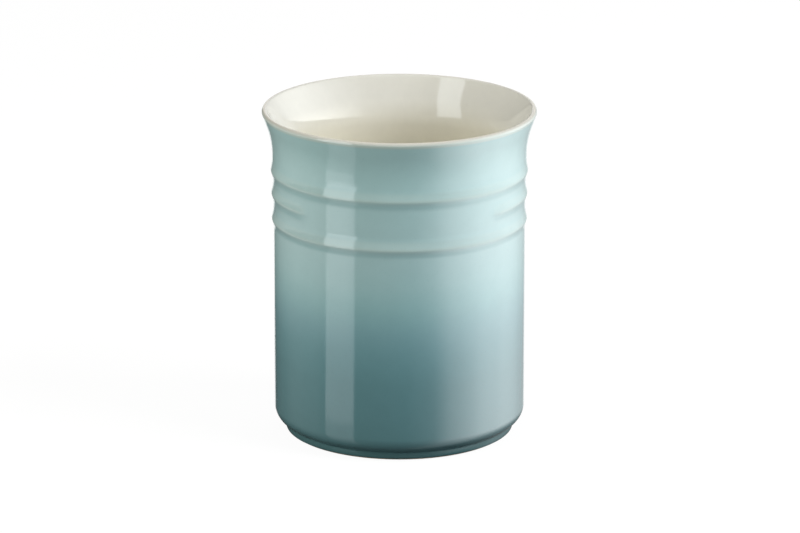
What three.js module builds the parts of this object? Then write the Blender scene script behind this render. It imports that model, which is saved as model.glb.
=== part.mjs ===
// Utensil crock: a stoneware jar with a flared rim and three raised ribs under it, coated
// outside, inside and underneath with three separate coats of glaze. The foot ring is left bare.
// Millimetres, +Z up. The origin is the centre of the face that the crock stands on, and its
// front is towards -Y.
import * as THREE from "three";
import { mergeGeometries } from "three/addons/utils/BufferGeometryUtils.js";

// Driving dimensions of the clay
const clayHeight = 149.6;
const wallRadius = 56.4; // outside of the plain lower wall
const wallThickness = 5.7;
const neckWidening = 0.6; // how far the neck, above the ribs, stands out from the wall
const neckLength = 2; // plain stretch between the top rib and the flare
const rimOverhang = 4.5; // how far the rim stands out from the neck
const lipRadius = 0.85; // round edge of the rim
const flareHeight = 21.1; // from the rim's top down to where the outside starts to flare
const flareStraight = 6; // straight upper part of the flare, between its bend and the lip
const innerFlareHeight = 21; // both the same inside
const innerStraight = 12;
const heelRadius = 7.6; // rounding between the wall and the foot
const heelHeight = 11.5; // where that rounding meets the wall
const floorThickness = 5.7;
const floorCornerRadius = 7;

// Foot ring
const footInset = 5; // how far it stands in from the wall
const footRingWidth = 5;
const footEdgeRadius = 2.2; // rounding at its outer bottom edge
const footInnerSlope = 1; // how far its inner side leans in
const recessDepth = 2.9; // hollow inside the ring

// Ribs
const ribCount = 3;
const ribPitch = 11.2;
const ribRise = 0.8;
const ribHalfWidth = 4.6;
const brokenRib = 1; // counted from 0 at the top: this one breaks off at the front
const panelHalfAngle = 45; // degrees each side of the front
const ribEndAngle = 7.5; // degrees over which the broken rib fades out

// Glaze
const glazeThickness = 0.4;
const footGlazeAngle = -30; // where the outer coat starts on the foot's edge, from level, degrees
const rimGlazeAngle = -10; // where it meets the inner coat on the lip, from level, degrees
const recessGlazeMargin = 0.8; // bare clay between the coat underneath and the foot ring

// Facets
const sides = 48;
const stepsPerRib = 6;
const arcSteps = 5;

const radians = THREE.MathUtils.degToRad;

// Points of a circular arc in the profile plane, x out from the axis and y up.
function arc(centre, radius, from, to, steps = arcSteps) {
  const clockwise = to < from;
  const curve = new THREE.EllipseCurve(centre.x, centre.y, radius, radius, from, to, clockwise);
  return curve.getPoints(steps);
}

// Moves each point of a profile along its normal, to the right of the way that the profile runs.
function offset(points, distance) {
  const normals = points.slice(1).map((point, i) => {
    const along = point.clone().sub(points[i]).normalize();
    return new THREE.Vector2(along.y, -along.x);
  });
  return points.map((point, i) => {
    const before = normals[Math.max(i - 1, 0)];
    const after = normals[Math.min(i, normals.length - 1)];
    const mitre = before.clone().add(after).multiplyScalar(distance / (1 + before.dot(after)));
    return point.clone().add(mitre);
  });
}

// Ribbed band, with its ribs counted down from the neck
const neckRadius = wallRadius + neckWidening;
const flareStart = clayHeight - flareHeight;
const topRibHeight = flareStart - neckLength - ribHalfWidth;
const ribHeights = Array.from({ length: ribCount }, (_, i) => topRibHeight - i * ribPitch);
const bandBottom = ribHeights.at(-1) - ribHalfWidth;

function riseOfRib(ribHeight, height) {
  const share = Math.abs(height - ribHeight) / ribHalfWidth;
  return share < 1 ? (ribRise * (1 + Math.cos(Math.PI * share))) / 2 : 0;
}

// The wall widens a little over the ribbed band, from the wall's radius to the neck's.
function bandRadius(height) {
  const share = (height - bandBottom) / (flareStart - bandBottom);
  const ribs = ribHeights.reduce((sum, ribHeight) => sum + riseOfRib(ribHeight, height), 0);
  return wallRadius + neckWidening * share ** 2 + ribs;
}

function ribbedBand() {
  const heights = ribHeights.toReversed().flatMap((ribHeight) =>
    Array.from(
      { length: stepsPerRib + 1 },
      (_, i) => ribHeight + ribHalfWidth * ((2 * i) / stepsPerRib - 1),
    ),
  );
  return heights.map((height) => new THREE.Vector2(bandRadius(height), height));
}

// Rim: each flare bends away from the upright wall, then runs straight to the round lip.
const innerRadius = wallRadius - wallThickness;
const rimRadius = neckRadius + rimOverhang;
const lipCentre = new THREE.Vector2(rimRadius - lipRadius, clayHeight - lipRadius);

function flare(startRadius, startHeight, straight, side) {
  const out = lipCentre.x + side * lipRadius - startRadius;
  const up = lipCentre.y - startHeight;
  const lean = 2 * Math.atan2(out, up + straight);
  const bendRadius = (up - straight * Math.cos(lean)) / Math.sin(lean) - side * lipRadius;
  const centre = new THREE.Vector2(startRadius + bendRadius, startHeight);
  return { centre, bendRadius, lean };
}

const outerFlare = flare(neckRadius, flareStart, flareStraight, 1);
const innerFlare = flare(innerRadius, clayHeight - innerFlareHeight, innerStraight, -1);
const rimJoint = radians(rimGlazeAngle);

// Foot and heel
const footRadius = wallRadius - footInset;
const footEdgeCentre = new THREE.Vector2(footRadius - footEdgeRadius, footEdgeRadius);
const footGlazeStart = radians(footGlazeAngle);
const heelCentre = new THREE.Vector2(wallRadius - heelRadius, heelHeight);
const heelStart = -Math.acos((footRadius - heelCentre.x) / heelRadius);
const recessRadius = footRadius - footRingWidth - footInnerSlope;

// Profile of the clay, in the order that it runs: out along the underside, up the outside, over
// the lip, down the inside and back to the axis.
const underside = [
  new THREE.Vector2(0, recessDepth),
  new THREE.Vector2(recessRadius, recessDepth),
  new THREE.Vector2(footRadius - footRingWidth, 0),
];
const bareFoot = arc(footEdgeCentre, footEdgeRadius, -Math.PI / 2, footGlazeStart, 2);
const outside = [
  ...arc(footEdgeCentre, footEdgeRadius, footGlazeStart, 0, 2),
  ...arc(heelCentre, heelRadius, heelStart, 0),
  ...ribbedBand(),
  ...arc(outerFlare.centre, outerFlare.bendRadius, Math.PI, Math.PI - outerFlare.lean),
  ...arc(lipCentre, lipRadius, -outerFlare.lean, rimJoint, 1),
];
const recessCeiling = [
  new THREE.Vector2(0, recessDepth),
  new THREE.Vector2(recessRadius - recessGlazeMargin, recessDepth),
];
const floorHeight = recessDepth + floorThickness;
const floorCorner = new THREE.Vector2(
  innerRadius - floorCornerRadius,
  floorHeight + floorCornerRadius,
);
const inside = [
  ...arc(lipCentre, lipRadius, rimJoint, Math.PI - innerFlare.lean, 4),
  ...arc(innerFlare.centre, innerFlare.bendRadius, Math.PI - innerFlare.lean, Math.PI),
  ...arc(floorCorner, floorCornerRadius, 0, -Math.PI / 2, 4),
  new THREE.Vector2(0, floorHeight),
];

// Glazed surface, which lies over the clay from the foot's edge to the middle of the floor.
const glazed = offset([...outside, ...inside.slice(1)], glazeThickness);
const glazedOutside = glazed.slice(0, outside.length);
const glazedInside = glazed.slice(outside.length - 1);

// Takes the broken rib away at the front, where the band between its neighbours is left plain.
function breakRib(geometry) {
  const place = geometry.getAttribute("position");
  const outsideOnly = (innerRadius + wallRadius) / 2;
  const panelEnd = radians(panelHalfAngle);
  const ribFull = radians(panelHalfAngle + ribEndAngle);
  for (let i = 0; i < place.count; i++) {
    const radius = Math.hypot(place.getX(i), place.getZ(i));
    if (radius < outsideOnly) continue;
    const angle = Math.abs(Math.atan2(place.getX(i), place.getZ(i)));
    const gone = 1 - THREE.MathUtils.smoothstep(angle, panelEnd, ribFull);
    const rise = riseOfRib(ribHeights[brokenRib], place.getY(i)) * gone;
    place.setX(i, place.getX(i) * (1 - rise / radius));
    place.setZ(i, place.getZ(i) * (1 - rise / radius));
  }
}

function revolved(profile) {
  const geometry = new THREE.LatheGeometry(profile, sides);
  breakRib(geometry);
  return geometry.rotateX(Math.PI / 2);
}

function turnedOver(geometry) {
  const index = geometry.getIndex();
  for (let i = 0; i < index.count; i += 3) {
    const second = index.getX(i + 1);
    index.setX(i + 1, index.getX(i + 2));
    index.setX(i + 2, second);
  }
  return geometry;
}

function named(name, geometry, color, roughness) {
  const material = new THREE.MeshStandardMaterial({ color, roughness, metalness: 0 });
  const mesh = new THREE.Mesh(geometry, material);
  mesh.name = name;
  return mesh;
}

function stonewareBody() {
  const profile = [...underside, ...bareFoot, ...outside.slice(1), ...inside.slice(1)];
  return named("stoneware_body", revolved(profile), 0xd9c7ae, 0.85);
}

// A coat lies between the clay and its own glazed surface. It shares the clay's facets, and has an
// edge where it ends away from the axis.
function coat(name, clay, surface, color) {
  const edges = [
    [clay[0], surface[0]],
    [surface.at(-1), clay.at(-1)],
  ];
  const openEdges = edges.filter((edge) => edge.every((point) => point.x > 0));
  const skins = [revolved(surface), turnedOver(revolved(clay)), ...openEdges.map(revolved)];
  return named(name, mergeGeometries(skins), color, 0.12);
}

const seaGreen = 0x7fb0b0;
const cream = 0xf0ece0;

const crock = new THREE.Group();
crock.add(
  stonewareBody(),
  coat("outer_glaze", outside, glazedOutside, seaGreen),
  coat("inner_glaze", inside, glazedInside, cream),
  coat("base_glaze", recessCeiling, offset(recessCeiling, glazeThickness), seaGreen),
);

export default crock;
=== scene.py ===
import bmesh
import bpy
import math
from mathutils import Matrix, Vector


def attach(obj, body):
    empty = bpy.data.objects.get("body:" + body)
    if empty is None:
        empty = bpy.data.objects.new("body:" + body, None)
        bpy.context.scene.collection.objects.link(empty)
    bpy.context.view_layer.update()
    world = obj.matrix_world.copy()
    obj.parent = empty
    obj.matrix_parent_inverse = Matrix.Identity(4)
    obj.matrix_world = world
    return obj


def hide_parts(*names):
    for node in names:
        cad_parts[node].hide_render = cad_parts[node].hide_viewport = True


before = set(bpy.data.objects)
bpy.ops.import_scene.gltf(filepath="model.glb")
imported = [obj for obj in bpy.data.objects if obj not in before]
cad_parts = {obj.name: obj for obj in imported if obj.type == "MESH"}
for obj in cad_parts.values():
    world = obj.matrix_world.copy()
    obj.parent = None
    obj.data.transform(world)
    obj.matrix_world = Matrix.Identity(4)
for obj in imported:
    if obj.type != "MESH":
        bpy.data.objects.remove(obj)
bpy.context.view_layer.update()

# Shapes are drawn in millimetres and brought to metres when a piece is finished.
# A profile lies in the XZ plane, with x out from the crock's axis and z up.
metresPerMm = 0.001
turns = 192  # steps round the axis
weldGap = 0.0005  # in the unit of the mesh
ringReach = 0.02  # how near the vertices of an edge are to its radius and height
edgeSteps = 3  # across a rounded edge
sharpAngle = 50  # degrees, from which an edge stays crisp
scene = bpy.context.scene


# Profile drawing

def lineTo(bm, tip, x, z, steps=1):
    step = (Vector((x, 0, z)) - tip.co) / steps
    for _ in range(steps):
        made = bmesh.ops.extrude_vert_indiv(bm, verts=[tip])
        tip = made["verts"][0]
        bmesh.ops.translate(bm, vec=step, verts=[tip])
    return tip


def arcTo(bm, tip, centre, degrees, steps):
    # positive degrees turn from out towards up
    made = bmesh.ops.spin(bm, geom=[tip], cent=(centre[0], 0, centre[1]), axis=(0, -1, 0),
                          angle=math.radians(degrees), steps=steps)
    return next(v for v in made["geom_last"] if isinstance(v, bmesh.types.BMVert))


def pointOn(centre, radius, degrees):
    angle = math.radians(degrees)
    return (centre[0] + radius * math.cos(angle), 0, centre[1] + radius * math.sin(angle))


def spinRound(bm):
    bmesh.ops.spin(bm, geom=bm.verts[:] + bm.edges[:], cent=(0, 0, 0), axis=(0, 0, 1),
                   angle=math.tau, steps=turns, use_merge=True)
    bmesh.ops.remove_doubles(bm, verts=bm.verts, dist=weldGap)
    bmesh.ops.recalc_face_normals(bm, faces=bm.faces)


def roundRing(bm, radius, height, width):
    # softens the edge that runs round the axis at this radius and height
    def onRing(v):
        out = math.hypot(v.co.x, v.co.y) - radius
        return abs(out) < ringReach and abs(v.co.z - height) < ringReach
    edges = [e for e in bm.edges if onRing(e.verts[0]) and onRing(e.verts[1])]
    bmesh.ops.bevel(bm, geom=edges, offset=width, offset_type="OFFSET", segments=edgeSteps,
                    profile=0.5, affect="EDGES", material=-1, clamp_overlap=True)


def finishPiece(bm, name, node, material):
    for face in bm.faces:
        face.smooth = True
    for edge in bm.edges:
        if len(edge.link_faces) == 2 and edge.calc_face_angle() > math.radians(sharpAngle):
            edge.smooth = False
    bmesh.ops.scale(bm, vec=(metresPerMm,) * 3, verts=bm.verts)
    mesh = bpy.data.meshes.new(name)
    bm.to_mesh(mesh)
    bm.free()
    piece = bpy.data.objects.new(name, mesh)
    scene.collection.objects.link(piece)
    mesh.materials.append(material)
    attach(piece, "root")
    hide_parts(node)
    print(name, len(mesh.polygons), "faces")


# Node helpers

def newMaterial(name):
    material = bpy.data.materials.new(name)
    material.use_nodes = True
    material.node_tree.nodes.clear()
    return material, material.node_tree


def addNode(tree, kind, settings=None, **sockets):
    node = tree.nodes.new(kind)
    for key, value in (settings or {}).items():
        setattr(node, key, value)
    for key, value in sockets.items():
        number = key[1:]  # i0 is the first socket, and other keys are names
        socket = node.inputs[int(number) if number.isdigit() else key.replace("_", " ")]
        if isinstance(value, bpy.types.NodeSocket):
            tree.links.new(value, socket)
        else:
            socket.default_value = value
    return node


def rgb(red, green, blue):
    return (red, green, blue, 1)


def rampNode(tree, factor, stops, interpolation="LINEAR"):
    node = addNode(tree, "ShaderNodeValToRGB", Fac=factor)
    node.color_ramp.interpolation = interpolation
    elements = node.color_ramp.elements
    for i, (place, colour) in enumerate(stops):
        element = elements[i] if i < 2 else elements.new(place)
        element.position = place
        element.color = colour
    return node


def mixColour(tree, blend, factor, first, second):
    node = addNode(tree, "ShaderNodeMix", {"data_type": "RGBA", "blend_type": blend}, i0=factor,
                   i6=first, i7=second)
    return node.outputs[2]


def rangeNode(tree, value, fromLow, fromHigh, toLow, toHigh, kind="LINEAR"):
    node = addNode(tree, "ShaderNodeMapRange", {"interpolation_type": kind}, Value=value,
                   From_Min=fromLow, From_Max=fromHigh, To_Min=toLow, To_Max=toHigh)
    return node.outputs["Result"]


def maths(tree, operation, *values):
    sockets = {f"i{place}": value for place, value in enumerate(values)}
    return addNode(tree, "ShaderNodeMath", {"operation": operation}, **sockets).outputs["Value"]


def lengthOf(tree, vector):
    node = addNode(tree, "ShaderNodeVectorMath", {"operation": "LENGTH"}, Vector=vector)
    return node.outputs["Value"]


def objectPlace(tree):
    return addNode(tree, "ShaderNodeTexCoord").outputs["Object"]


def noise(tree, place, scale, detail, roughness=0.5):
    node = addNode(tree, "ShaderNodeTexNoise", Vector=place, Scale=scale, Detail=detail,
                   Roughness=roughness)
    return node.outputs["Fac"]


def finishShader(tree, **sockets):
    shader = addNode(tree, "ShaderNodeBsdfPrincipled", **sockets)
    addNode(tree, "ShaderNodeOutputMaterial", Surface=shader.outputs["BSDF"])


# Camera, at the photograph's height and distance

cameraView = {
    "place": (0.0003, -2.3834, 0.7860),
    "tiltDown": 16.598,
    "lens": 246.9,
    "sensor": 36,
    "reach": 20,
}

cameraData = bpy.data.cameras.new("camera")
cameraData.lens = cameraView["lens"]
cameraData.sensor_width = cameraView["sensor"]
cameraData.clip_end = cameraView["reach"]
camera = bpy.data.objects.new("camera", cameraData)
camera.location = cameraView["place"]
camera.rotation_euler = (math.radians(90 - cameraView["tiltDown"]), 0, 0)
scene.collection.objects.link(camera)
scene.camera = camera
scene.view_settings.view_transform = "Standard"
print("camera set")


# Sizes of the clay, in millimetres

clay = {
    "height": 149.6,
    "wall": 56.4,  # radius
    "thickness": 5.7,
    "neck": 57.0,
    "rim": 61.5,
    "lip": 0.85,
    "flareStart": 128.5,
    "flareStraight": 6.0,  # upper part of the flare, between its bend and the lip
    "innerFlareStart": 128.6,
    "innerStraight": 12.0,
    "heel": (48.8, 11.5, 7.6),  # centre out, centre up, radius
    "notch": 0.35,  # rounding where the heel meets the foot
    "foot": 51.4,
    "footEdge": 2.2,
    "footRing": 46.4,  # inner edge of the face that it stands on
    "ringEdge": 0.35,
    "recess": (45.4, 2.9),
    "recessEdge": 0.5,
    "floor": 8.6,
    "floorCorner": 7.0,
}

ribs = {
    "heights": (121.9, 111.3, 99.5),
    "rise": 0.84,
    "above": (6.3, 5.0, 5.7),  # how far each foot of a rib reaches above its crest
    "below": (4.5, 5.0, 4.0),
    "crest": 0.45,  # rounding of the crest
    "bandBottom": 95.2,
    "broken": 1,  # counted down from 0: this one breaks off at the front
    "panel": 45.0,  # degrees each side of the front that it leaves plain
    "ending": 7.5,  # degrees over which it fades out
}

profileSteps = {
    "recess": 6,
    "footRing": 2,
    "footEdge": 8,
    "foot": 4,
    "notch": 6,
    "heel": 18,
    "wall": 10,
    "ribs": 120,
    "flare": 20,
    "flareTop": 9,
    "lip": 16,
    "innerTop": 14,
    "innerFlare": 18,
    "innerWall": 10,
    "floorCorner": 12,
    "floor": 6,
}

inner = clay["wall"] - clay["thickness"]
lipCentre = (clay["rim"] - clay["lip"], clay["height"] - clay["lip"])


# Glaze on the lip, read by the angle round the middle of its rounding

def lipOffsets(tree, place):
    parts = addNode(tree, "ShaderNodeSeparateXYZ", Vector=place)
    flat = addNode(tree, "ShaderNodeCombineXYZ", X=parts.outputs["X"], Y=parts.outputs["Y"])
    radius = lengthOf(tree, flat.outputs["Vector"])
    out = maths(tree, "SUBTRACT", radius, lipCentre[0] * metresPerMm)
    up = maths(tree, "SUBTRACT", parts.outputs["Z"], lipCentre[1] * metresPerMm)
    return parts.outputs["Z"], out, up


def turnOf(tree, rise, run, fromDegrees, toDegrees):
    angle = maths(tree, "ARCTAN2", rise, run)
    return rangeNode(tree, angle, math.radians(fromDegrees), math.radians(toDegrees), 0, 1)


lipJoint = rgb(0.44, 0.54, 0.505)  # where the two coats run into each other
lipLook = {
    "greenTurn": (-66, -34),  # degrees over which the green runs into the joint
    "creamTurn": (-100, 80),  # degrees from the joint over the top to the inside
    "stops": [  # share of that turn, colour
        (0.0, lipJoint),
        (0.17, rgb(0.50, 0.53, 0.49)),
        (0.31, rgb(0.51, 0.515, 0.465)),
        (0.55, rgb(0.59, 0.56, 0.48)),  # thin over the buff clay
    ],
    "plain": (0.52, 0.72),  # share of that turn over which the plain cream takes over
}


# Sea-green glaze, pale above and deep below, a little thinner on the crests of the ribs

seaGreen = {
    "stops": [  # share of the height, colour
        # the lowest stops are darker still, over the few millimetres next to the foot
        (0.02, rgb(0.058, 0.129, 0.138)),
        (0.05, rgb(0.085, 0.184, 0.201)),
        (0.24, rgb(0.098, 0.212, 0.234)),
        (0.33, rgb(0.124, 0.258, 0.283)),
        (0.40, rgb(0.160, 0.305, 0.336)),
        (0.47, rgb(0.215, 0.384, 0.403)),
        (0.55, rgb(0.279, 0.448, 0.459)),
        (0.66, rgb(0.325, 0.476, 0.488)),
        (0.86, rgb(0.314, 0.486, 0.492)),
        (0.96, rgb(0.332, 0.514, 0.520)),
    ],
    "heights": (0, 0.15),  # metres up, between the ends of the stops
    "drift": 0.012,  # how unevenly the shades run into each other
    "driftScale": 22,
    "driftNoise": (0.2, 0.8),
    "thin": rgb(0.92, 0.98, 1.0),  # how far the buff clay shows through above a crest
    "thinRelief": (0.0, 0.5),
    "crest": rgb(0.36, 0.36, 0.29),
    "crestRelief": (0.65, 1.0),
    "crestShare": 0.14,
    # darker in the hollow just under each crest
    "underCrest": rgb(0.92, 0.96, 0.965),
    "underCrestRelief": (-1.0, 0.0),
    "mottle": 0.02,
    "mottleScale": 140,
    "specks": rgb(0.86, 0.89, 0.90),
    "speckScale": 420,
    "speckEdge": (0.05, 0.16),
    "speckShare": 0.5,
    "roughness": (0.07, 0.12),
    "ripple": 0.00003,
}


midNoise = (0.3, 0.7)  # where most values of a noise lie
glazeSkin = {
    "glossScale": 60,
    "waveScale": 55,  # slow waves from firing
    "fineScale": 900,
    "fineShare": 0.06,
    "ior": 1.5,
}


def glazeSurface(tree, place, colour, look):
    # uneven gloss, slow waves and a fine skin
    gloss = rangeNode(tree, noise(tree, place, glazeSkin["glossScale"], 5, 0.6), *midNoise,
                      *look["roughness"])
    slow = noise(tree, place, glazeSkin["waveScale"], 2)
    fine = noise(tree, place, glazeSkin["fineScale"], 2)
    waves = maths(tree, "MULTIPLY_ADD", fine, glazeSkin["fineShare"], slow)
    bump = addNode(tree, "ShaderNodeBump", Strength=1.0, Distance=look["ripple"], Height=waves)
    finishShader(tree, Base_Color=colour, Roughness=gloss, IOR=glazeSkin["ior"],
                 Normal=bump.outputs["Normal"])


def clouded(tree, place, colour, scale, strength):
    mottle = rangeNode(tree, noise(tree, place, scale, 4, 0.6), 0.25, 0.75, 1 - strength,
                       1 + strength)
    return addNode(tree, "ShaderNodeVectorMath", {"operation": "SCALE"}, Vector=colour,
                   Scale=mottle).outputs["Vector"]


def speckMask(tree, place, look):
    cells = addNode(tree, "ShaderNodeTexVoronoi", {"feature": "F1"}, Vector=place,
                    Scale=look["speckScale"])
    return rangeNode(tree, cells.outputs["Distance"], *look["speckEdge"], look["speckShare"], 0)


def seaGreenGlaze():
    material, tree = newMaterial("sea green glaze")
    place = objectPlace(tree)
    height, out, up = lipOffsets(tree, place)
    share = rangeNode(tree, height, *seaGreen["heights"], 0, 1)
    drift = rangeNode(tree, noise(tree, place, seaGreen["driftScale"], 3), *seaGreen["driftNoise"],
                      -seaGreen["drift"], seaGreen["drift"])
    uneven = maths(tree, "ADD", share, drift)
    colour = rampNode(tree, uneven, seaGreen["stops"], "B_SPLINE").outputs["Color"]

    # cloudy mottling and a few fine specks
    colour = clouded(tree, place, colour, seaGreen["mottleScale"], seaGreen["mottle"])
    specks = speckMask(tree, place, seaGreen)
    colour = mixColour(tree, "MULTIPLY", specks, colour, seaGreen["specks"])

    # thin on the crests, darker in the hollow under them
    relief = addNode(tree, "ShaderNodeAttribute", {"attribute_name": "ribRelief"}).outputs["Fac"]
    thin = rangeNode(tree, relief, *seaGreen["thinRelief"], 0, 1, "SMOOTHSTEP")
    crest = rangeNode(tree, relief, *seaGreen["crestRelief"], 0, seaGreen["crestShare"],
                      "SMOOTHSTEP")
    underCrest = rangeNode(tree, relief, *seaGreen["underCrestRelief"], 1, 0, "SMOOTHSTEP")
    colour = mixColour(tree, "DIVIDE", thin, colour, seaGreen["thin"])
    colour = mixColour(tree, "MULTIPLY", underCrest, colour, seaGreen["underCrest"])
    colour = mixColour(tree, "MIX", crest, colour, seaGreen["crest"])

    # runs into the cream on the lip
    lip = turnOf(tree, up, out, *lipLook["greenTurn"])
    colour = mixColour(tree, "MIX", lip, colour, lipJoint)
    glazeSurface(tree, place, colour, seaGreen)
    return material


# Cream glaze for the inside and the lip

cream = {
    # painted light: deeper in, the cream is lighter and warmer, for the light that bounces round
    # inside, and near the rim it is darker and greyer
    "deep": rgb(0.708, 0.680, 0.565),
    "high": rgb(0.592, 0.588, 0.540),
    "fade": (0.120, 0.143),  # metres up, between the two
    "cloud": 0.02,
    "cloudScale": 35,
    "mottle": 0.015,
    "mottleScale": 260,
    "roughness": (0.06, 0.11),
    "ripple": 0.00003,
}


def creamGlaze():
    material, tree = newMaterial("cream glaze")
    place = objectPlace(tree)
    height, out, up = lipOffsets(tree, place)
    # painted bounce light: lighter and warmer below the fade, darker and greyer above it
    share = rangeNode(tree, height, *cream["fade"], 0, 1, "SMOOTHSTEP")
    colour = mixColour(tree, "MIX", share, cream["deep"], cream["high"])
    colour = clouded(tree, place, colour, cream["cloudScale"], cream["cloud"])
    colour = clouded(tree, place, colour, cream["mottleScale"], cream["mottle"])

    # thins over the lip, from the inside to where it meets the green
    inward = maths(tree, "MULTIPLY", out, -1.0)
    turn = turnOf(tree, inward, up, *lipLook["creamTurn"])
    lipColour = rampNode(tree, turn, lipLook["stops"]).outputs["Color"]
    lip = rangeNode(tree, turn, *lipLook["plain"], 1, 0, "SMOOTHSTEP")
    colour = mixColour(tree, "MIX", lip, colour, lipColour)
    glazeSurface(tree, place, colour, cream)
    return material


# Bare buff clay, which shows on the foot ring

buffClay = {
    "dark": rgb(0.46, 0.35, 0.24),
    "pale": rgb(0.70, 0.58, 0.43),
    "cloudScale": 90,
    "specks": rgb(0.30, 0.20, 0.13),
    "speckScale": 700,
    "speckEdge": (0.10, 0.25),
    "speckShare": 0.8,
    "scuff": rgb(0.42, 0.38, 0.33),
    "scuffHeight": 0.0006,
    "scuffScale": 160,
    "roughness": (0.70, 0.92),
    "grain": 0.00012,
    "grainScale": 1100,
    "ior": 1.45,
}


def bareClay():
    material, tree = newMaterial("bare buff clay")
    place = objectPlace(tree)
    height = addNode(tree, "ShaderNodeSeparateXYZ", Vector=place).outputs["Z"]
    cloud = rangeNode(tree, noise(tree, place, buffClay["cloudScale"], 6, 0.65), *midNoise, 0, 1)
    colour = mixColour(tree, "MIX", cloud, buffClay["dark"], buffClay["pale"])
    specks = speckMask(tree, place, buffClay)
    colour = mixColour(tree, "MIX", specks, colour, buffClay["specks"])
    worn = rangeNode(tree, height, 0, buffClay["scuffHeight"], 1, 0)
    patchy = maths(tree, "MULTIPLY", worn, noise(tree, place, buffClay["scuffScale"], 4, 0.7))
    colour = mixColour(tree, "MIX", patchy, colour, buffClay["scuff"])
    dull = rangeNode(tree, cloud, 0, 1, *buffClay["roughness"])
    bump = addNode(tree, "ShaderNodeBump", Strength=1.0, Distance=buffClay["grain"],
                   Height=noise(tree, place, buffClay["grainScale"], 4, 0.7))
    finishShader(tree, Base_Color=colour, Roughness=dull, IOR=buffClay["ior"],
                 Normal=bump.outputs["Normal"])
    return material


glazeGreen, glazeCream, clayBuff = seaGreenGlaze(), creamGlaze(), bareClay()
print("materials made")


# Outside and inside of the crock, at the clay or at the top of its coat

def ribRise(index, height):
    above = height - ribs["heights"][index]
    reach = ribs["above" if above > 0 else "below"][index]
    share = (math.hypot(above, ribs["crest"]) - ribs["crest"]) / reach
    return ribs["rise"] * (1 - share) ** 2 if share < 1 else 0


def bandRadius(height):
    share = (height - ribs["bandBottom"]) / (clay["flareStart"] - ribs["bandBottom"])
    widening = (clay["neck"] - clay["wall"]) * share ** 2
    return clay["wall"] + widening + sum(ribRise(i, height) for i in range(len(ribs["heights"])))


def ribLeft(v):
    # how much of the broken rib is left at this angle
    fromFront = math.degrees(abs(math.atan2(v.co.x, -v.co.y)))
    share = min(max((fromFront - ribs["panel"]) / ribs["ending"], 0), 1)
    return share * share * (3 - 2 * share)


def breakRib(bm):
    for v in bm.verts:
        radius = math.hypot(v.co.x, v.co.y)
        if radius > (inner + clay["wall"]) / 2:
            kept = 1 - ribRise(ribs["broken"], v.co.z) * (1 - ribLeft(v)) / radius
            v.co.x *= kept
            v.co.y *= kept


def flareOf(start, height, straight, side):
    # centre of the bend that leaves the wall upright, and how far the straight part above it leans
    out = lipCentre[0] + side * clay["lip"] - start
    up = lipCentre[1] - height
    lean = 2 * math.atan2(out, up + straight)
    bend = (up - straight * math.cos(lean)) / math.sin(lean) - side * clay["lip"]
    return (start + bend, height), math.degrees(lean)


outerBend, outerLean = flareOf(clay["neck"], clay["flareStart"], clay["flareStraight"], 1)
innerBend, innerLean = flareOf(inner, clay["innerFlareStart"], clay["innerStraight"], -1)


def ribbedBand(bm, tip, coat):
    before = set(bm.verts)
    tip = lineTo(bm, tip, clay["neck"] + coat, clay["flareStart"], profileSteps["ribs"])
    for v in set(bm.verts) - before:
        v.co.x = bandRadius(v.co.z) + coat
    return tip


def outsideTo(bm, tip, coat, notch):
    # from the top of the foot's edge, round the notch and the heel, to the edge of the lip
    x, z, radius = clay["heel"]
    radius += coat
    foot = clay["foot"] + coat
    across = foot + notch - x
    turn = math.degrees(math.acos(across / (radius + notch)))
    notchCentre = (foot + notch, z - (radius + notch) * math.sin(math.radians(turn)))
    tip = lineTo(bm, tip, foot, notchCentre[1], profileSteps["foot"])
    tip = arcTo(bm, tip, notchCentre, -turn, profileSteps["notch"])
    tip = arcTo(bm, tip, (x, z), turn, profileSteps["heel"])
    tip = lineTo(bm, tip, clay["wall"] + coat, ribs["bandBottom"], profileSteps["wall"])
    tip = ribbedBand(bm, tip, coat)
    tip = arcTo(bm, tip, outerBend, -outerLean, profileSteps["flare"])
    lipEdge = pointOn(lipCentre, clay["lip"] + coat, -outerLean)
    return lineTo(bm, tip, lipEdge[0], lipEdge[2], profileSteps["flareTop"])


def insideTo(bm, tip, coat):
    # from the inner side of the lip down to the middle of the floor
    bendEnd = pointOn(innerBend, innerBend[0] - inner + coat, 180 - innerLean)
    tip = lineTo(bm, tip, bendEnd[0], bendEnd[2], profileSteps["innerTop"])
    tip = arcTo(bm, tip, innerBend, innerLean, profileSteps["innerFlare"])
    corner = (inner - clay["floorCorner"], clay["floor"] + clay["floorCorner"])
    tip = lineTo(bm, tip, inner - coat, corner[1], profileSteps["innerWall"])
    tip = arcTo(bm, tip, corner, -90, profileSteps["floorCorner"])
    return lineTo(bm, tip, 0, clay["floor"] + coat, profileSteps["floor"])


# Stoneware body: one turned profile with its foot ring, heel, ribs and flared rim

def stonewareBody():
    recessRadius, recessHeight = clay["recess"]
    edge = clay["footEdge"]
    bm = bmesh.new()
    tip = bm.verts.new((0, 0, recessHeight))
    tip = lineTo(bm, tip, recessRadius, recessHeight, profileSteps["recess"])
    tip = lineTo(bm, tip, clay["footRing"], 0)
    tip = lineTo(bm, tip, clay["foot"] - edge, 0, profileSteps["footRing"])
    tip = arcTo(bm, tip, (clay["foot"] - edge, edge), 90, profileSteps["footEdge"])
    tip = outsideTo(bm, tip, 0, clay["notch"])
    tip = arcTo(bm, tip, lipCentre, 180 - innerLean + outerLean, profileSteps["lip"])
    insideTo(bm, tip, 0)
    spinRound(bm)
    roundRing(bm, recessRadius, recessHeight, clay["recessEdge"])
    roundRing(bm, clay["footRing"], 0, clay["ringEdge"])
    breakRib(bm)
    finishPiece(bm, "crock_stoneware_body", "stoneware_body", clayBuff)


stonewareBody()


# Coats of glaze: each is turned from a loop, up the clay and back along the glazed surface

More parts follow.
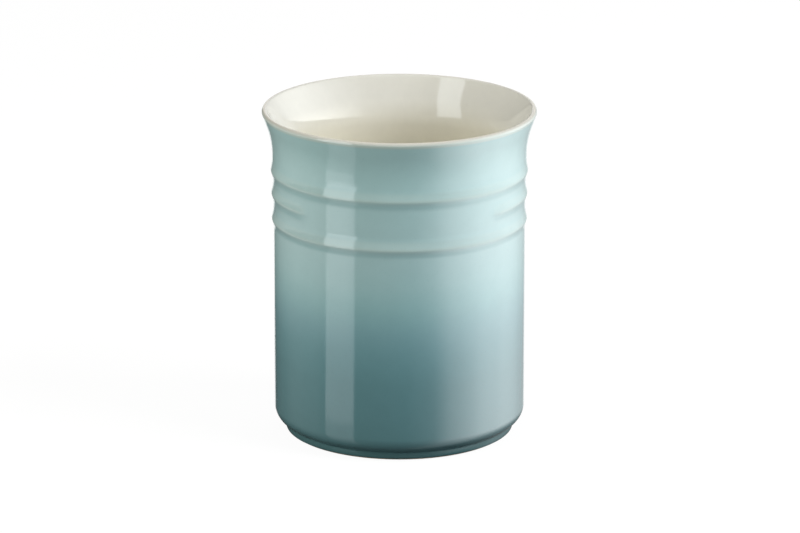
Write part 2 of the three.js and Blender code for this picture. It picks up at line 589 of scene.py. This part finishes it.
outerCoat = {
    "thickness": 0.4,
    "footStart": -30,  # degrees on the foot's edge, from level
    "footSteps": 5,
    "rimEnd": -10,  # degrees on the lip, from level
    "rimSteps": 4,
    "notch": 0.8,  # glaze that pools where the heel meets the foot
    "footBead": 0.18,  # soft edge where the glaze stops
    "thinned": (5.0, 1.2),  # how far above and below a crest
    "hollow": 2.7,  # how far below a crest the hollow is darkest
    "hollowReach": 1.5,
}


def markRelief(bm):
    # 1 on a crest, less on the slope above it, -1 in the hollow under it
    layer = bm.verts.layers.float.new("ribRelief")
    higher, lower = outerCoat["thinned"]
    for v in bm.verts:
        relief = 0
        for i, crest in enumerate(ribs["heights"]):
            strength = ribLeft(v) if i == ribs["broken"] else 1
            above = v.co.z - crest
            onCrest = max(1 - max(above / higher, -above / lower), 0)
            under = max(1 - abs(above + outerCoat["hollow"]) / outerCoat["hollowReach"], 0)
            relief += strength * (onCrest - under)
        v[layer] = relief


def outerGlaze():
    edge = clay["footEdge"]
    centre = (clay["foot"] - edge, edge)
    bm = bmesh.new()
    starts, tips = [], []
    for coat, notch in ((0, clay["notch"]), (outerCoat["thickness"], outerCoat["notch"])):
        tip = bm.verts.new(pointOn(centre, edge + coat, outerCoat["footStart"]))
        starts.append(tip)
        tip = arcTo(bm, tip, centre, -outerCoat["footStart"], outerCoat["footSteps"])
        tip = outsideTo(bm, tip, coat, notch)
        tip = arcTo(bm, tip, lipCentre, outerLean + outerCoat["rimEnd"], outerCoat["rimSteps"])
        tips.append(tip)
    bm.edges.new(starts)
    bm.edges.new(tips)
    spinRound(bm)
    bead = pointOn(centre, edge + outerCoat["thickness"], outerCoat["footStart"])
    roundRing(bm, bead[0], bead[2], outerCoat["footBead"])
    breakRib(bm)
    markRelief(bm)
    finishPiece(bm, "crock_outer_glaze", "outer_glaze", glazeGreen)


outerGlaze()

innerCoat = {"thickness": 0.4, "lipSteps": 18}


def innerGlaze():
    bm = bmesh.new()
    starts = []
    for coat in (0, innerCoat["thickness"]):
        tip = bm.verts.new(pointOn(lipCentre, clay["lip"] + coat, outerCoat["rimEnd"]))
        starts.append(tip)
        tip = arcTo(bm, tip, lipCentre, 180 - innerLean - outerCoat["rimEnd"],
                    innerCoat["lipSteps"])
        insideTo(bm, tip, coat)
    bm.edges.new(starts)
    spinRound(bm)
    finishPiece(bm, "crock_inner_glaze", "inner_glaze", glazeCream)


innerGlaze()

baseCoat = {"thickness": 0.4, "margin": 0.8, "bead": 0.25, "steps": 7}


def baseGlaze():
    recessRadius, recessHeight = clay["recess"]
    radius = recessRadius - baseCoat["margin"]
    low = recessHeight - baseCoat["thickness"]
    bm = bmesh.new()
    rims = [lineTo(bm, bm.verts.new((0, 0, z)), radius, z, baseCoat["steps"])
            for z in (low, recessHeight)]
    bm.edges.new(rims)
    spinRound(bm)
    roundRing(bm, radius, low, baseCoat["bead"])
    finishPiece(bm, "crock_base_glaze", "base_glaze", glazeGreen)


baseGlaze()
print("pieces made")


# Stage: a pale floor, and dark and bright cards that only the gloss of the glaze sees

floorLook = {
    "hole": 0.047,  # under the crock, so that its underside isn't closed off
    "size": 6.0,
    "sides": 64,
    "bounce": rgb(0.20, 0.205, 0.21),
    "glow": 0.93,  # brings the floor up to white in the picture, less the crock's shadow
    "tint": rgb(0.09, 0.09, 0.09),
}


def stageObject(name, bm, material, glossOnly=False):
    mesh = bpy.data.meshes.new(name)
    bm.to_mesh(mesh)
    bm.free()
    mesh.materials.append(material)
    obj = bpy.data.objects.new(name, mesh)
    scene.collection.objects.link(obj)
    if glossOnly:
        for ray in ("camera", "diffuse", "transmission", "shadow", "volume_scatter"):
            setattr(obj, "visible_" + ray, False)
    return obj


def ringDisc(innerRadius, outerRadius, height):
    bm = bmesh.new()
    for radius in (innerRadius, outerRadius):
        bmesh.ops.create_circle(bm, segments=floorLook["sides"], radius=radius)
    bmesh.ops.bridge_loops(bm, edges=bm.edges[:])
    bmesh.ops.translate(bm, vec=(0, 0, height), verts=bm.verts)
    for face in bm.faces:
        if face.normal.z < 0:
            face.normal_flip()
    return bm


def seenAsBackground(tree):
    # camera, mirror and see-through rays meet the white background
    path = addNode(tree, "ShaderNodeLightPath")
    some = maths(tree, "MAXIMUM", path.outputs["Is Camera Ray"], path.outputs["Is Glossy Ray"])
    return maths(tree, "MAXIMUM", some, path.outputs["Is Transmission Ray"])


def finishGlow(material, tree, shader):
    # only reflections meet it, so it isn't sampled as a lamp
    addNode(tree, "ShaderNodeOutputMaterial", Surface=shader)
    material.cycles.emission_sampling = "NONE"


def addGlow(tree, shader, strength):
    glow = addNode(tree, "ShaderNodeEmission", Color=tent["tint"], Strength=strength)
    both = addNode(tree, "ShaderNodeAddShader", i0=shader, i1=glow.outputs["Emission"])
    return both.outputs["Shader"]


def paleFloor():
    material, tree = newMaterial("pale floor")
    bounce = addNode(tree, "ShaderNodeBsdfDiffuse", Color=floorLook["bounce"])
    lit = addNode(tree, "ShaderNodeBsdfDiffuse", Color=floorLook["tint"])
    glow = addNode(tree, "ShaderNodeEmission", Strength=floorLook["glow"])
    white = addNode(tree, "ShaderNodeAddShader", i0=lit.outputs["BSDF"],
                    i1=glow.outputs["Emission"])
    top = addNode(tree, "ShaderNodeMixShader", i0=seenAsBackground(tree), i1=bounce.outputs["BSDF"],
                  i2=white.outputs["Shader"])
    below = addNode(tree, "ShaderNodeBsdfTransparent")
    geometry = addNode(tree, "ShaderNodeNewGeometry")
    both = addNode(tree, "ShaderNodeMixShader", i0=geometry.outputs["Backfacing"],
                   i1=top.outputs["Shader"], i2=below.outputs["BSDF"])
    addNode(tree, "ShaderNodeOutputMaterial", Surface=both.outputs["Shader"])
    floor = stageObject("floor", ringDisc(floorLook["hole"], floorLook["size"], 0), material)
    floor.visible_glossy = False


paleFloor()

# a dark tent, open above and behind, with soft fills at the left and a wide glow at the right
tent = {
    "radius": 6.0,
    "high": 50,  # degrees above level
    "gap": 30,  # degrees left open behind
    "steps": (28, 88),  # up and round
    "level": 0.05,
    "tint": rgb(0.98, 1.0, 1.0),
}
sideGlows = {  # degrees from the front or above level, with the share of the level there
    "left": {
        "level": 0.4,
        "azimuth": [(-160, 0.04), (-148, 0.07), (-130, 0.25), (-116, 0.75), (-104, 1), (-82, 1),
                    (-66, 0)],
        "elevation": [(-65, 0.4), (-56, 0.7), (-20, 0.75), (-18, 1), (25, 1), (48, 0.1)],
    },
    "right": {
        "level": 5.7,
        "azimuth": [(6, 0), (16, 0.04), (24, 0.07), (32, 0.13), (40, 0.295), (48, 0.50),
                    (64, 0.76), (80, 1), (90, 1), (110, 0.82), (128, 0.48), (140, 0.28),
                    (148, 0.20), (160, 0.12)],
        "elevation": [(-89, 0.9), (-24, 0.95), (-18, 1), (-8, 0.96), (6, 0.94), (14, 0.98),
                      (22, 0.92), (30, 0.75), (36, 0.55), (42, 0.36), (52, 0.14), (58, 0)],
    },
}


def aroundAndUp(tree, place):
    # azimuth with the front at half way, and height from straight down to straight up
    turned = addNode(tree, "ShaderNodeMapping", Vector=place, Rotation=(0, 0, math.radians(90)))
    azimuth = addNode(tree, "ShaderNodeTexGradient", {"gradient_type": "RADIAL"},
                      Vector=turned.outputs["Vector"]).outputs["Fac"]
    way = addNode(tree, "ShaderNodeVectorMath", {"operation": "NORMALIZE"}, Vector=place)
    rise = addNode(tree, "ShaderNodeSeparateXYZ", Vector=way.outputs["Vector"]).outputs["Z"]
    return azimuth, rangeNode(tree, rise, -1, 1, 0, 1)


def shareRamp(tree, factor, shares, toFactor):
    stops = [(toFactor(key), rgb(share, share, share)) for key, share in shares]
    return rampNode(tree, factor, stops).outputs["Color"]


def turnFactor(degrees):
    return degrees / 360 + 0.5


def riseFactor(degrees):
    return (math.sin(math.radians(degrees)) + 1) / 2


def levelOf(tree, first, second, level):
    return maths(tree, "MULTIPLY", maths(tree, "MULTIPLY", first, second), level)


def glowStrength(tree, look, azimuth, height):
    around = shareRamp(tree, azimuth, look["azimuth"], turnFactor)
    upward = shareRamp(tree, height, look["elevation"], riseFactor)
    return levelOf(tree, around, upward, look["level"])


def studioTent():
    material, tree = newMaterial("studio tent")
    place = objectPlace(tree)
    azimuth, height = aroundAndUp(tree, place)
    shader = addNode(tree, "ShaderNodeEmission", Strength=tent["level"]).outputs["Emission"]
    for look in sideGlows.values():
        shader = addGlow(tree, shader, glowStrength(tree, look, azimuth, height))
    finishGlow(material, tree, shader)
    stepsUp, stepsRound = tent["steps"]
    bm = bmesh.new()
    arcTo(bm, bm.verts.new((0, 0, -tent["radius"])), (0, 0), 90 + tent["high"], stepsUp)
    start = math.radians(90 + tent["gap"] / 2)
    geom = bm.verts[:] + bm.edges[:]
    bmesh.ops.rotate(bm, cent=(0, 0, 0), verts=bm.verts,
                     matrix=Matrix.Rotation(start, 3, "Z"))
    bmesh.ops.spin(bm, geom=geom, cent=(0, 0, 0), axis=(0, 0, 1),
                   angle=math.radians(360 - tent["gap"]), steps=stepsRound)
    bmesh.ops.remove_doubles(bm, verts=bm.verts, dist=weldGap)
    stageObject("tent", bm, material, glossOnly=True)


studioTent()

# more light from the far parts of the table, which only the upper half of the crock mirrors
tableSheen = {
    "inner": 0.2,
    "outer": 1.4,
    "height": 0.0001,
    "reach": [(0.2, 0), (0.25, 0.35), (0.30, 0.7), (0.43, 1)],  # metres from the axis
    "left": {
        "level": 1.0,
        "azimuth": [(-165, 0.05), (-140, 0.14), (-122, 0.42), (-98, 0.82), (-70, 1), (-46, 0.8),
                    (-38, 0)],
    },
    "right": {
        "level": 1.2,
        "azimuth": [(14, 0), (24, 0.5), (36, 1), (60, 0.9), (90, 0.5), (120, 0.2), (150, 0)],
    },
}


def sheenRing():
    material, tree = newMaterial("table sheen")
    place = objectPlace(tree)
    azimuth, _ = aroundAndUp(tree, place)
    reach = rangeNode(tree, lengthOf(tree, place), 0, tableSheen["outer"], 0, 1)
    outward = shareRamp(tree, reach, tableSheen["reach"],
                        lambda metres: metres / tableSheen["outer"])
    shader = addNode(tree, "ShaderNodeBsdfTransparent").outputs["BSDF"]
    for side in ("left", "right"):
        around = shareRamp(tree, azimuth, tableSheen[side]["azimuth"], turnFactor)
        strength = levelOf(tree, around, outward, tableSheen[side]["level"])
        shader = addGlow(tree, shader, strength)
    finishGlow(material, tree, shader)
    ring = ringDisc(tableSheen["inner"], tableSheen["outer"], tableSheen["height"])
    stageObject("tableSheen", ring, material, glossOnly=True)


sheenRing()

# tall leaning lights at the left, which give the bright upright streak
strips = {
    "distance": 0.6,
    "tint": rgb(0.94, 1.0, 1.03),
    "cards": {  # corners across and up from the middle
        "strip_above": {
            "azimuth": -53.7,
            "corners": ((-0.126, -0.045), (0.185, -0.045), (0.054, 1.000), (-0.238, 0.950)),
            "level": [(0, 4.1), (1, 3.4)],  # metres up
        },
        "strip_below": {
            "azimuth": -56,
            "corners": ((-0.118, -0.045), (0.183, -0.045), (0.164, -0.170), (-0.139, -0.170)),
            "level": [(-0.17, 2.1), (-0.045, 2.1)],
        },
        "strip_lowest": {
            "azimuth": -56,
            "corners": ((-0.139, -0.170), (0.164, -0.170), (0.044, -0.950), (-0.270, -0.870)),
            "level": [(-0.7, 0.9), (-0.2, 1.2)],
        },
    },
}


def stripLights():
    for name, look in strips["cards"].items():
        angle = math.radians(look["azimuth"])
        away = Vector((math.sin(angle), -math.cos(angle), 0)) * strips["distance"]
        side = Vector((math.cos(angle), math.sin(angle), 0))
        material, tree = newMaterial(name)
        place = objectPlace(tree)
        height = addNode(tree, "ShaderNodeSeparateXYZ", Vector=place).outputs["Z"]
        (low, lowLevel), (high, highLevel) = look["level"]
        level = rangeNode(tree, height, low, high, lowLevel, highLevel)
        glow = addNode(tree, "ShaderNodeEmission", Color=strips["tint"], Strength=level)
        finishGlow(material, tree, glow.outputs["Emission"])
        bm = bmesh.new()
        corners = [bm.verts.new(away + side * across + Vector((0, 0, up)))
                   for across, up in look["corners"]]
        bmesh.ops.contextual_create(bm, geom=corners)
        stageObject(name, bm, material, glossOnly=True)


stripLights()

# the shade close round the foot, which the heel mirrors
footShade = {
    "inner": 0.0475,
    "dark": 0.053,
    "outer": 0.073,
    "level": 0.03,
    "height": 0.0002,
    # degrees from the front, and how much weaker it is towards the right lamp
    "lifted": [(30, 0), (60, 0.2), (90, 0.28), (120, 0.28), (160, 0.05)],
}


def shadeRing():
    material, tree = newMaterial("foot shade")
    place = objectPlace(tree)
    faded = rangeNode(tree, lengthOf(tree, place), footShade["dark"], footShade["outer"], 0, 1,
                      "SMOOTHSTEP")
    azimuth, _ = aroundAndUp(tree, place)
    lifted = shareRamp(tree, azimuth, footShade["lifted"], turnFactor)
    clear = maths(tree, "MAXIMUM", faded, lifted)
    shade = addNode(tree, "ShaderNodeEmission", Strength=footShade["level"])
    through = addNode(tree, "ShaderNodeBsdfTransparent")
    both = addNode(tree, "ShaderNodeMixShader", i0=clear, i1=shade.outputs["Emission"],
                   i2=through.outputs["BSDF"])
    finishGlow(material, tree, both.outputs["Shader"])
    ring = ringDisc(footShade["inner"], footShade["outer"], footShade["height"])
    stageObject("footShade", ring, material, glossOnly=True)


shadeRing()
print("stage set")


# Soft studio light

lamps = {
    "right": {
        "place": (1.258, -0.508, 0.928),
        "size": 1.0,
        "power": 27.4,
        "tint": (1.0, 1.0, 1.0),
    },
    "left": {
        "place": (-1.351, -0.659, 0.627),
        "size": 1.0,
        "power": 13.4,
        "tint": (1.0, 0.965, 0.86),
    },
}
aim = (0, 0, 0.08)
sky = {  # degrees from the front or above level, with the share of the level there
    "level": 1.04,
    "azimuth": [(-180, 1), (-135, 0.8), (-90, 0.6), (-45, 1), (0, 0.6), (45, 0.15), (90, 0.2),
                (135, 0.8), (180, 1)],
    "elevation": [(0, 1), (30, 1), (50, 0.4), (90, 0.3)],
}


def softLamps():
    for name, look in lamps.items():
        data = bpy.data.lights.new(name, "AREA")
        data.shape = "SQUARE"
        data.size = look["size"]
        data.energy = look["power"]
        data.color = look["tint"]
        lamp = bpy.data.objects.new(name, data)
        lamp.location = look["place"]
        away = lamp.location - Vector(aim)
        lamp.rotation_euler = away.to_track_quat("Z", "Y").to_euler()
        lamp.visible_camera = False
        lamp.visible_glossy = False
        scene.collection.objects.link(lamp)


def whiteWorld():
    world = bpy.data.worlds.new("world")
    scene.world = world
    world.use_nodes = True
    tree = world.node_tree
    tree.nodes.clear()
    azimuth, height = aroundAndUp(tree, addNode(tree, "ShaderNodeTexCoord").outputs["Generated"])
    pureWhite = rgb(1, 1, 1)
    soft = addNode(tree, "ShaderNodeBackground", Color=pureWhite,
                   Strength=glowStrength(tree, sky, azimuth, height))
    white = addNode(tree, "ShaderNodeBackground", Color=pureWhite, Strength=1.0)
    seen = addNode(tree, "ShaderNodeMixShader", i0=seenAsBackground(tree),
                   i1=soft.outputs["Background"], i2=white.outputs["Background"])
    addNode(tree, "ShaderNodeOutputWorld", Surface=seen.outputs["Shader"])


softLamps()
whiteWorld()
print("light set")
